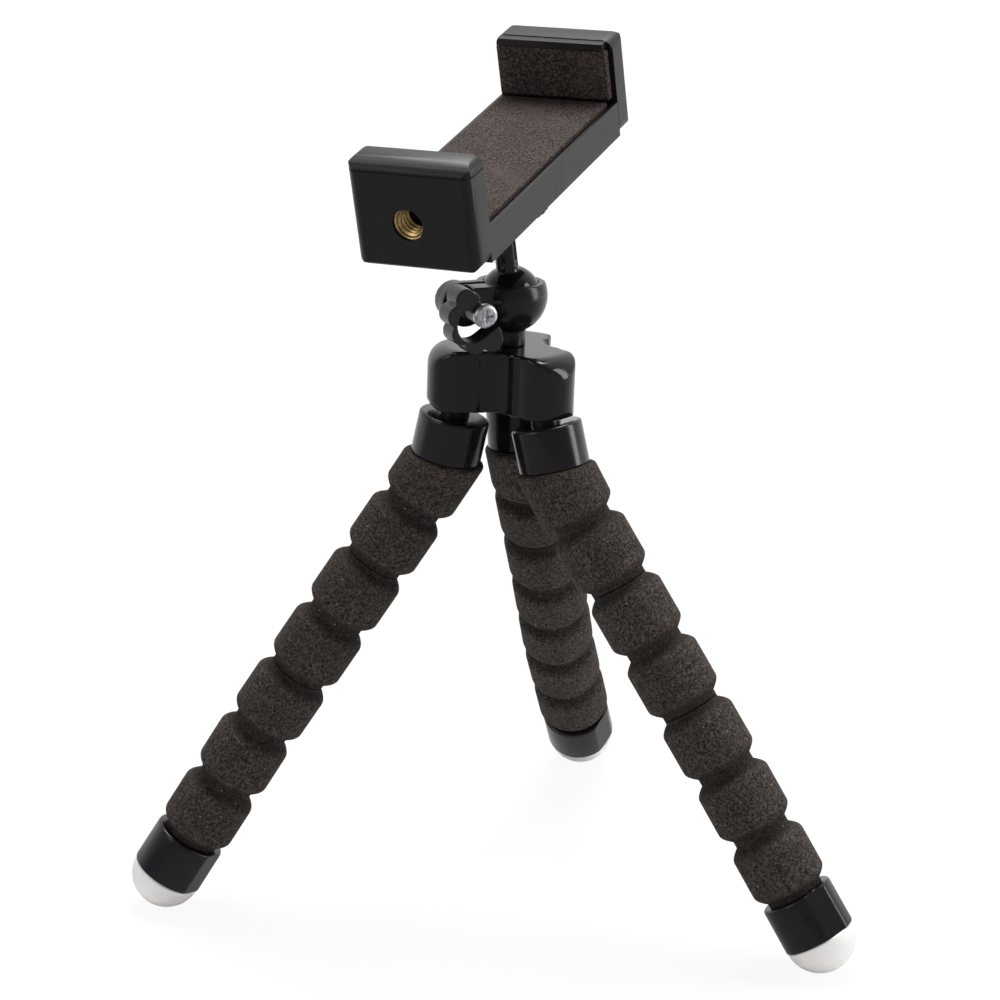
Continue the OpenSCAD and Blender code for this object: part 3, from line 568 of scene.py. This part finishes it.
class Leg:
    """The leg's centre line: four straight lengths, from the underside of the collar to the foot."""

    def __init__(self, name, sizes):
        self.sizes = sizes
        socket, way = pivot(f"{name}_leg_tilt"), axis(f"{name}_leg_swivel")
        self.collar = Place(socket, way if way[2] < 0 else -way, (0, 1, 0))
        top = socket + self.collar.z * (sizes.pin_reach + sizes.collar_len)
        points = [top] + [pivot(f"{name}_bend_{k}") for k in (1, 2, 3)]
        ways = [unit(low - high) for high, low in zip(points, points[1:])] + [way_down(f"{name}_wire_4")]
        self.lengths = [Place(point, way, np.cross(way, (0, 0, 1))) for point, way in zip(points, ways)]
        step = LENGTH_BEADS * sizes.pitch
        self.stations = sizes.first_bead + step * np.arange(3)
        self.foam_end = self.stations[2] + step
        self.cap = self.lengths[3].moved(0, 0, step / MM)
        self.foot = self.cap.moved(0, 0, sizes.cap_len / MM)

    def radius(self, s):
        """Radius of the sleeve at distance s: from the flat bottom of a groove each shoulder climbs to the
        bead along a quarter sine wave; the rim under the collar is rounded."""
        z = self.sizes
        gap = np.abs(s[:, None] - groove_middles(z)).min(1) - z.groove_w / 2
        climb = np.sin(np.clip(gap / z.shoulder, 0, 1) * math.pi / 2)
        rim = np.clip(1 - s / z.lip, 0, 1)
        return z.groove_r + (z.foam_r - z.groove_r) * climb - z.lip * (1 - np.sqrt(1 - rim * rim))

    def skin(self, s, phi, k):
        """Rings of the sleeve at distances s, on length k above the station, on length k + 1 below it, and on
        a smooth mix of both within 4 mm of it."""
        r = self.radius(s)[:, None] / MM
        start = self.stations[k - 1] if k else 0.0
        t = np.clip((s - self.stations[k]) / BEND_SPAN + 0.5, 0, 1)
        share = (t * t * (3 - 2 * t))[:, None, None]
        x, y = r * np.cos(phi), r * np.sin(phi)
        above = self.lengths[k].at(x, y, (s[:, None] - start) / MM)
        below = self.lengths[k + 1].at(x, y, (s[:, None] - self.stations[k]) / MM)
        return (1 - share) * above + share * below

    def top_skin(self, s, phi, reach):
        """Rings of the top bead, which turn from the slanting underside of the collar to square at reach."""
        top, way = self.lengths[0], self.collar.z
        r = self.radius(s)[:, None]
        x, y = r * np.cos(phi), r * np.sin(phi)
        slant = -(x * (top.x @ way) + y * (top.y @ way)) / (top.z @ way)
        return top.at(x / MM, y / MM, ((1 - s[:, None] / reach) * slant + s[:, None]) / MM)


def sleeve_stops(start, end, grooves):
    """Distances along a sleeve: 0.3 mm apart near the grooves and 1.6 mm over the beads."""
    coarse, near, near_steps, clear = 0.0016, 0.0048, 32, 0.005
    even = np.arange(start, end, coarse)
    close = (grooves[:, None] + np.linspace(-near, near, near_steps + 1)).ravel()
    far = even[np.abs(even[:, None] - grooves).min(1) > clear]
    stops = np.unique(np.concatenate([[start, end], far, close]).round(6))
    return stops[(stops >= start) & (stops <= end)]


def make_sleeves(sizes):
    """Three foam sleeves a leg, cut in the grooves, each bending at the station in its middle. The pattern
    of each leg is shifted from the last leg's."""
    around, blend_reach, pattern_shift = 112, 0.0042, 0.2
    phi = np.linspace(0, 2 * math.pi, around, endpoint=False)[None, :]
    reach = sizes.first_bead - sizes.shoulder - sizes.groove_w
    for number, name in enumerate(LEGS):
        leg = Leg(name, sizes)
        cuts = [0.0, leg.stations[1] - sizes.pitch, leg.stations[2] - sizes.pitch, leg.foam_end]
        nodes = [(f"{name}_foam_1", f"{name}_foam_2"), (f"{name}_foam_3",), (f"{name}_foam_4",)]
        for k in range(3):
            s = sleeve_stops(cuts[k], cuts[k + 1], groove_middles(sizes))
            if k == 0:
                s = np.unique(np.concatenate([s, np.linspace(0, sizes.lip, 7)]))
            top = (s <= reach) & (k == 0)
            rings = np.concatenate([leg.top_skin(s[top], phi, reach), leg.skin(s[~top], phi, k)])
            sleeve = ring_skin(f"{name}_sleeve_{k + 1}", rings, angle=60)
            r = leg.radius(s)[:, None]
            along = s[:, None] + pattern_shift * number
            flat = np.broadcast_arrays(r * np.cos(phi), r * np.sin(phi), along)
            store = sleeve.data.attributes.new("laid_out", "FLOAT_VECTOR", "POINT")
            store.data.foreach_set("vector", (np.stack(flat, -1) / MM).ravel().astype(np.float32))
            dress(sleeve, "foam_sleeve", None, *nodes[k])
            half = unit(leg.lengths[k].z + leg.lengths[k + 1].z) * blend_reach
            station = leg.lengths[k + 1].origin
            station - half
            station + half
            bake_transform(sleeve)


def make_collars(sizes):
    """Collars: turned cups with rounded rims, open above round the shank of the pin."""
    top, wide = sizes.pin_reach / MM, sizes.collar_r / MM
    low = top + sizes.collar_len / MM
    bore, shank, floor = 3.1, 2.0, top + 1.6
    lip, rim, heel = 0.5, 0.75, 0.45
    profile = np.concatenate([
        [(bore, floor)], arc(bore + lip, top + lip, lip, 180, 270),
        arc(wide - rim, top + rim, rim, 270, 360), arc(wide - heel, low - heel, heel, 0, 90),
        [(shank, low)], [(shank, floor)]])
    for name in LEGS:
        shell = turned(f"{name}_collar_shell", Leg(name, sizes).collar, profile, turns=128)
        dress(shell, "collar_plastic", f"{name}_top_length", f"{name}_collar")


def make_caps(sizes):
    """End caps: turned cups with a lengthwise flat on the side that faces a compass angle in degrees."""
    tall, r = sizes.cap_len / MM, sizes.cap_r / MM
    gap, rim, heel = 0.05, 0.75, 0.4
    hole, socket, deep = 1.6, 5.4, 2.0
    flat_share = 0.93
    profile = np.concatenate([
        [(hole, gap)], arc(r - rim - gap, rim + gap, rim, 270, 360), arc(r - heel, tall - heel, heel, 0, 90),
        [(socket, tall)], [(socket, tall - deep)], [(hole, tall - deep)]])
    for name, compass in zip(LEGS, (-27, -52, -40)):
        cap = Leg(name, sizes).cap
        turn = math.radians(compass)
        facing = cap.angle(np.array([math.cos(turn), math.sin(turn), 0]))

        def flat(phi, radius, height):
            """The outside's radius is held back to a share of the cap's on the side that faces the angle."""
            limit = flat_share * r / np.maximum(np.cos(phi - facing), 1e-3)
            return np.where(radius > (socket + r) / 2, np.minimum(radius, limit), radius)
        shell = turned(f"{name}_cap_shell", cap, profile, turns=180, shape=flat, angle=17)
        dress(shell, "collar_plastic", f"{name}_foot_length", f"{name}_end_cap")


def make_feet(sizes):
    """Feet: domes whose plug sits in the end cap."""
    r = sizes.foot_r / MM
    plug_hole, plug_r, plug_len = 1.0, 5.1, 3.6
    rim, gap = 0.35, 0.02
    profile = np.concatenate([
        [(plug_hole, -plug_len)], [(plug_r, -plug_len)], [(plug_r, -gap)],
        arc(r - rim, rim, rim, 270, 350), arc(0, 0, r, 4, 89.4, 26)])
    for name in LEGS:
        dome = turned(f"{name}_foot_dome", Leg(name, sizes).foot, profile, turns=96, closed=False)
        dress(dome, "foot_rubber", f"{name}_foot_length", f"{name}_foot")


# Ball head

def make_ball(sizes):
    """Ball and stem: a sphere's arc, a short flare and a straight stem with four shallow flutes."""
    r, stem_r = sizes.ball_r / MM, sizes.stem_r / MM
    ball = arc(0, 0, r, -89.6, 66, 60)
    wide, high = ball[-1]
    share = np.linspace(0, 1, 7)[1:]
    narrowing = wide + (stem_r - wide) * np.sin(share * math.pi / 2)
    flare = np.stack([narrowing, high + 0.2 * share + 0.9 * share ** 2], 1)
    low, top = flare[-1, 1], STEM_LEN - sizes.wheel_t / MM - 0.2
    run = np.stack([np.full(16, stem_r), np.linspace(low + 0.3, top, 16)], 1)
    flute_deep, flute_half, fade = 0.5, 0.21, 0.7

    def flutes(phi, radius, height):
        """Radius dips in a narrow round flute four times a turn, fading in above the flare."""
        away = np.abs((phi * 2 / math.pi + 0.5) % 1 - 0.5) / flute_half
        depth = flute_deep * np.clip((height - low) / fade, 0, 1)
        return radius - depth * np.clip(1 - away * away, 0, 1)
    profile = np.concatenate([ball, flare, run])
    piece = turned("ball_and_stem", STEM, profile, turns=160, shape=flutes, closed=False, angle=50)
    dress(piece, "ball_plastic", "ball", "ball_stem")


def make_wheel(sizes):
    """Lock wheel: a flat disc with rounded rims and shallow valleys round it."""
    r, t = sizes.wheel_r / MM, sizes.wheel_t / MM
    gap, bore, rim = 0.1, 3.2, 0.6
    low = STEM_LEN - t - gap
    top = low + t - gap
    valleys, deep, fade = 30, 0.35, 1.6
    profile = np.concatenate([
        [(bore, low)], arc(r - rim, low + rim, rim, 270, 360), arc(r - rim, top - rim, rim, 0, 90),
        [(bore, top)]])

    def ribs(phi, radius, height):
        """Radius falls in round valleys, the cube of a cosine wave, fading out on the flat faces."""
        wave = (0.5 - 0.5 * np.cos(phi * valleys)) ** 3
        return radius - deep * wave * np.clip((radius - r + fade) / fade, 0, 1)
    wheel = turned("lock_wheel_rim", STEM, profile, turns=360, shape=ribs)
    dress(wheel, "ball_plastic", "wheel", "lock_wheel")


# Clamp

def rounded_slab(name, node, radius):
    """A pad in the box of its CAD node: each point of a cube's grid, whose n by n points a side crowd
    towards the edges, is clipped to the inner box, and pushed out from it by the radius."""
    own = CLAMP.own(points_of(node))
    middle, half = (own.min(0) + own.max(0)) / 2, (own.max(0) - own.min(0)) / 2
    n, crowding = 19, 0.6
    t = np.linspace(-1, 1, n)
    t = np.sign(t) * np.abs(t) ** crowding
    a, b = np.meshgrid(t, t, indexing="ij")
    i, j = np.meshgrid(np.arange(n - 1), np.arange(n - 1), indexing="ij")
    first = i * n + j
    quads = np.stack([first, first + n, first + n + 1, first + 1], -1).reshape(-1, 4)
    sides = [np.roll(np.stack([side + 0 * a, a, b], -1), k, -1) for k in range(3) for side in (-1, 1)]
    cube = np.concatenate([side.reshape(-1, 3) for side in sides]) * half
    core = np.clip(cube, radius - half, half - radius)
    out = cube - core
    points = middle + core + radius * out / np.maximum(np.linalg.norm(out, axis=1, keepdims=True), 1e-9)
    faces = np.concatenate([quads + n * n * side for side in range(6)])
    mesh = bpy.data.meshes.new(name)
    mesh.from_pydata(CLAMP.at(*points.T).tolist(), [], faces.tolist())
    bm = bmesh.new()
    bm.from_mesh(mesh)
    bmesh.ops.remove_doubles(bm, verts=bm.verts, dist=1e-6)
    bmesh.ops.recalc_face_normals(bm, faces=bm.faces)
    bm.to_mesh(mesh)
    bm.free()
    smooth(mesh, 50)
    return link(name, mesh)


def make_pads(sizes):
    """Foam pads on the clamp's floor and on both jaws."""
    for name, node, body in (
        ("floor_foam", "floor_pad", "clamp"),
        ("near_jaw_foam", "fixed_jaw_pad", "clamp"),
        ("far_jaw_foam", "sliding_jaw_pad", "jaw"),
    ):
        pad = rounded_slab(name, node, sizes.pad_edge / MM)
        dress(pad, "foam_pad", body, node)


def make_inserts(sizes):
    """Brass inserts: turned sleeves whose bore has a ridge that climbs one pitch a turn."""
    r, pitch, out = sizes.thread_r / MM, sizes.thread_pitch / MM, sizes.insert_r / MM
    deep = sizes.insert_len / MM
    chamfer, stops, ridge_high, fade = 0.35, 92, 0.62, 0.5
    z = np.linspace(chamfer, deep - 0.2, stops)
    bore = np.stack([np.full(stops, r), z], 1)
    profile = np.concatenate([[(out, deep)], [(out, 0.0)], [(r + chamfer, 0.0)], bore, [(r + 0.1, deep)]])

    def thread(phi, radius, height):
        """In the bore the radius dips to a flat-topped ridge once a pitch along the axis, fading in."""
        turn = (height / pitch - phi / (2 * math.pi)) % 1
        ridge = ridge_high * np.clip(1.25 - np.abs(turn - 0.5) * 2.9, 0, 1)
        return radius - ridge * (radius <= r + 1e-6) * np.clip((height - 0.3) / fade, 0, 1)
    own = CLAMP.own(points_of("end_insert"))
    x, _, z = (own.min(0) + own.max(0)) / 2
    end = Place(CLAMP.at(x, own[:, 1].min(), z), CLAMP.y, CLAMP.x)
    for name, place in (("end_insert", end), ("base_insert", CLAMP)):
        insert = turned(f"{name}_thread", place, profile, turns=96, shape=thread, angle=60)
        dress(insert, "insert_brass", "clamp", name)


# Stage

def make_floor():
    """A pale floor that keeps a faint shadow. Seen directly it is white, a little brighter far from the
    lamps; mirrored it is white behind the tripod and dimmer before it."""
    size = 6.0
    mesh = bpy.data.meshes.new("floor")
    corners = [(-size, -size, 0), (size, -size, 0), (size, size, 0), (-size, size, 0)]
    mesh.from_pydata(corners, [], [(0, 1, 2, 3)])
    floor = link("floor", mesh)
    f = Finish("floor_white", Roughness=0.9, Specular_IOR_Level=0.1, Base_Color=(0.8, 0.8, 0.8))
    x, y, _ = f.parts(f.where())
    far = (x * x + y * y).math("SQRT").ramp(0.2, 1.2)
    behind = y.ramp(-0.1, 0.25)
    white = far * 0.12 + 1.03
    dim = f.rays("Glossy") * (1 - behind) * 0.78
    glow = f.node("ShaderNodeEmission", {"Strength": white - dim})
    share = f.rays("Camera", "Glossy", "Transmission") * 0.88
    f.show(f.node("ShaderNodeMixShader", {0: share, 1: f.shader, 2: glow}))
    floor.data.materials.append(f.material)


def make_surroundings(level, front):
    """Plain grey light all round at the given level. What is seen directly is white; what gloss mirrors is
    white behind the tripod and falls to front before it."""
    world = bpy.data.worlds.new("surroundings")
    bpy.context.scene.world = world
    s = Shading(world, "ShaderNodeOutputWorld")
    seen = s.rays("Camera", "Transmission")
    mirrored = s.rays("Glossy")
    behind = s.parts(s.node("ShaderNodeTexCoord", out="Generated"))[1].ramp(-0.25, 0.6)
    strength = level + seen * (1 - level) + mirrored * (behind * (1 - front) + (front - level))
    s.show(s.node("ShaderNodeBackground", {"Strength": strength, "Color": (1, 1, 1)}))


def make_lamps():
    """Soft boxes: a large one above and behind, a tall one at the right and a weak one at the left front."""
    aim = Vector((0.003, -0.019, 0.11))
    for name, place, width, height, power in (
        ("top_softbox", (0.06, 0.22, 0.9), 0.55, 0.4, 8.5),
        ("right_softbox", (0.8, -0.1, 0.36), 0.25, 0.7, 3.2),
        ("left_softbox", (-0.7, -0.45, 0.5), 0.5, 0.5, 1.2),
    ):
        lamp = bpy.data.lights.new(name, "AREA")
        lamp.shape = "RECTANGLE"
        lamp.size = width
        lamp.size_y = height
        lamp.energy = power
        box = link(name, lamp)
        box.location = place
        box.rotation_euler = (aim - Vector(place)).to_track_quat("-Z", "Y").to_euler()


def make_camera():
    """The photograph's view: from the front and 19.8 degrees above, 0.724 m away."""
    lens = bpy.data.cameras.new("camera")
    lens.sensor_width = 36.0
    lens.lens = 114.48
    lens.clip_start = 0.05
    lens.clip_end = 30.0
    rise = math.radians(19.8)
    away = 0.724
    target = Vector((0.003097, -0.018816, 0.099182))
    camera = link("camera", lens)
    camera.location = target + away * Vector((0, -math.cos(rise), math.sin(rise)))
    camera.rotation_euler = (math.pi / 2 - rise, 0, 0)
    bpy.context.scene.camera = camera


# Operators, one for each group of like pieces

class TRIPOD_OT_finishes(Operator):
    """Make the finishes and give each bare CAD part its own"""
    bl_idname = "tripod.finishes"
    bl_label = "Finishes"

    def execute(self, context):
        make_finishes(context.scene.tripod_finishes)
        for part in frame["record"]["subparts"]:
            mesh = frame["nodes"][part["node"]].data
            mesh.materials.clear()
            mesh.materials.append(FINISHES[part["material_slot"]].material)
        return {"FINISHED"}


class TRIPOD_OT_sleeves(Operator):
    """Make the beaded foam sleeves of the three legs"""
    bl_idname = "tripod.sleeves"
    bl_label = "Foam sleeves"

    def execute(self, context):
        make_sleeves(context.scene.tripod_legs)
        return {"FINISHED"}


class TRIPOD_OT_collars(Operator):
    """Make the collars at the tops of the legs"""
    bl_idname = "tripod.collars"
    bl_label = "Collars"

    def execute(self, context):
        make_collars(context.scene.tripod_legs)
        return {"FINISHED"}


class TRIPOD_OT_caps(Operator):
    """Make the end caps of the legs"""
    bl_idname = "tripod.caps"
    bl_label = "End caps"

    def execute(self, context):
        make_caps(context.scene.tripod_legs)
        return {"FINISHED"}


class TRIPOD_OT_feet(Operator):
    """Make the white rubber feet"""
    bl_idname = "tripod.feet"
    bl_label = "Feet"

    def execute(self, context):
        make_feet(context.scene.tripod_legs)
        return {"FINISHED"}


class TRIPOD_OT_hub(Operator):
    """Make the trefoil hub and its base cover"""
    bl_idname = "tripod.hub"
    bl_label = "Hub"

    def execute(self, context):
        relaxed("hub_shell", "hub_body", "hub_plastic", "hub", cell=0.34, rounds=12)
        bevelled("hub_floor", "hub_base_cover", "hub_plastic", "hub", width=0.25, segments=2)
        return {"FINISHED"}


class TRIPOD_OT_cup(Operator):
    """Make the open bowl that holds the ball"""
    bl_idname = "tripod.cup"
    bl_label = "Ball cup"

    def execute(self, context):
        relaxed("cup_shell", "ball_cup", "head_plastic", "cup", cell=0.2, rounds=6)
        return {"FINISHED"}


class TRIPOD_OT_lever(Operator):
    """Make the lock lever and the bright head of its screw"""
    bl_idname = "tripod.lever"
    bl_label = "Lock lever"

    def execute(self, context):
        relaxed("lever_ring", "lock_lever", "lever_plastic", "lever", cell=0.14, rounds=12,
                slot="head_plastic")
        bevelled("lock_screw_head", "lock_screw", "zinc_screw", "lever", width=0.22)
        return {"FINISHED"}


class TRIPOD_OT_ball(Operator):
    """Make the ball with its fluted stem"""
    bl_idname = "tripod.ball"
    bl_label = "Ball and stem"

    def execute(self, context):
        make_ball(context.scene.tripod_head)
        return {"FINISHED"}


class TRIPOD_OT_wheel(Operator):
    """Make the lock wheel under the clamp"""
    bl_idname = "tripod.wheel"
    bl_label = "Lock wheel"

    def execute(self, context):
        make_wheel(context.scene.tripod_head)
        return {"FINISHED"}


class TRIPOD_OT_clamp(Operator):
    """Make the clamp's channel, its far jaw and its floor plate"""
    bl_idname = "tripod.clamp"
    bl_label = "Phone clamp"

    def execute(self, context):
        edge = context.scene.tripod_head.edge_r / MM
        bevelled("clamp_channel", "clamp_body", "clamp_plastic", "clamp", edge, segments=4)
        bevelled("far_jaw", "sliding_jaw", "clamp_plastic", "jaw", edge, segments=4)
        bevelled("clamp_floor_plate", "clamp_base_plate", "clamp_plastic", "clamp", width=0.25, segments=2)
        return {"FINISHED"}


class TRIPOD_OT_pads(Operator):
    """Make the clamp's three foam pads"""
    bl_idname = "tripod.pads"
    bl_label = "Foam pads"

    def execute(self, context):
        make_pads(context.scene.tripod_head)
        return {"FINISHED"}


class TRIPOD_OT_inserts(Operator):
    """Make the two threaded brass inserts"""
    bl_idname = "tripod.inserts"
    bl_label = "Brass inserts"

    def execute(self, context):
        make_inserts(context.scene.tripod_head)
        return {"FINISHED"}


class TRIPOD_OT_stage(Operator):
    """Make the floor, the surroundings, the lamps and the camera"""
    bl_idname = "tripod.stage"
    bl_label = "Stage"

    def execute(self, context):
        context.scene.view_settings.view_transform = "Standard"
        make_floor()
        make_surroundings(level=0.3, front=0.2)
        make_lamps()
        make_camera()
        return {"FINISHED"}


class TRIPOD_PT_panel(Panel):
    """Lists the tripod's groups of pieces and their settings"""
    bl_idname = "TRIPOD_PT_panel"
    bl_label = "Phone tripod"
    bl_space_type = "VIEW_3D"
    bl_region_type = "UI"
    bl_category = "Tripod"

    def draw(self, context):
        for operator in OPERATORS:
            self.layout.operator(operator.bl_idname)
        for name, group in GROUPS.items():
            box = self.layout.box()
            for key in group.__annotations__:
                box.prop(getattr(context.scene, name), key)


GROUPS = {"tripod_legs": TripodLegSizes, "tripod_head": TripodHeadSizes, "tripod_finishes": TripodFinishes}
OPERATORS = (
    TRIPOD_OT_finishes, TRIPOD_OT_sleeves, TRIPOD_OT_collars, TRIPOD_OT_caps, TRIPOD_OT_feet, TRIPOD_OT_hub,
    TRIPOD_OT_cup, TRIPOD_OT_lever, TRIPOD_OT_ball, TRIPOD_OT_wheel, TRIPOD_OT_clamp, TRIPOD_OT_pads,
    TRIPOD_OT_inserts, TRIPOD_OT_stage,
)


def register():
    for cls in (*GROUPS.values(), *OPERATORS, TRIPOD_PT_panel):
        bpy.utils.register_class(cls)
    for name, group in GROUPS.items():
        setattr(bpy.types.Scene, name, PointerProperty(type=group))


def unregister():
    for name in GROUPS:
        delattr(bpy.types.Scene, name)
    for cls in (TRIPOD_PT_panel, *OPERATORS[::-1], *GROUPS.values()):
        bpy.utils.unregister_class(cls)


def main():
    register()
    for operator in OPERATORS:
        getattr(bpy.ops.tripod, operator.bl_idname.split(".")[1])()


if __name__ == "__main__":
    main()
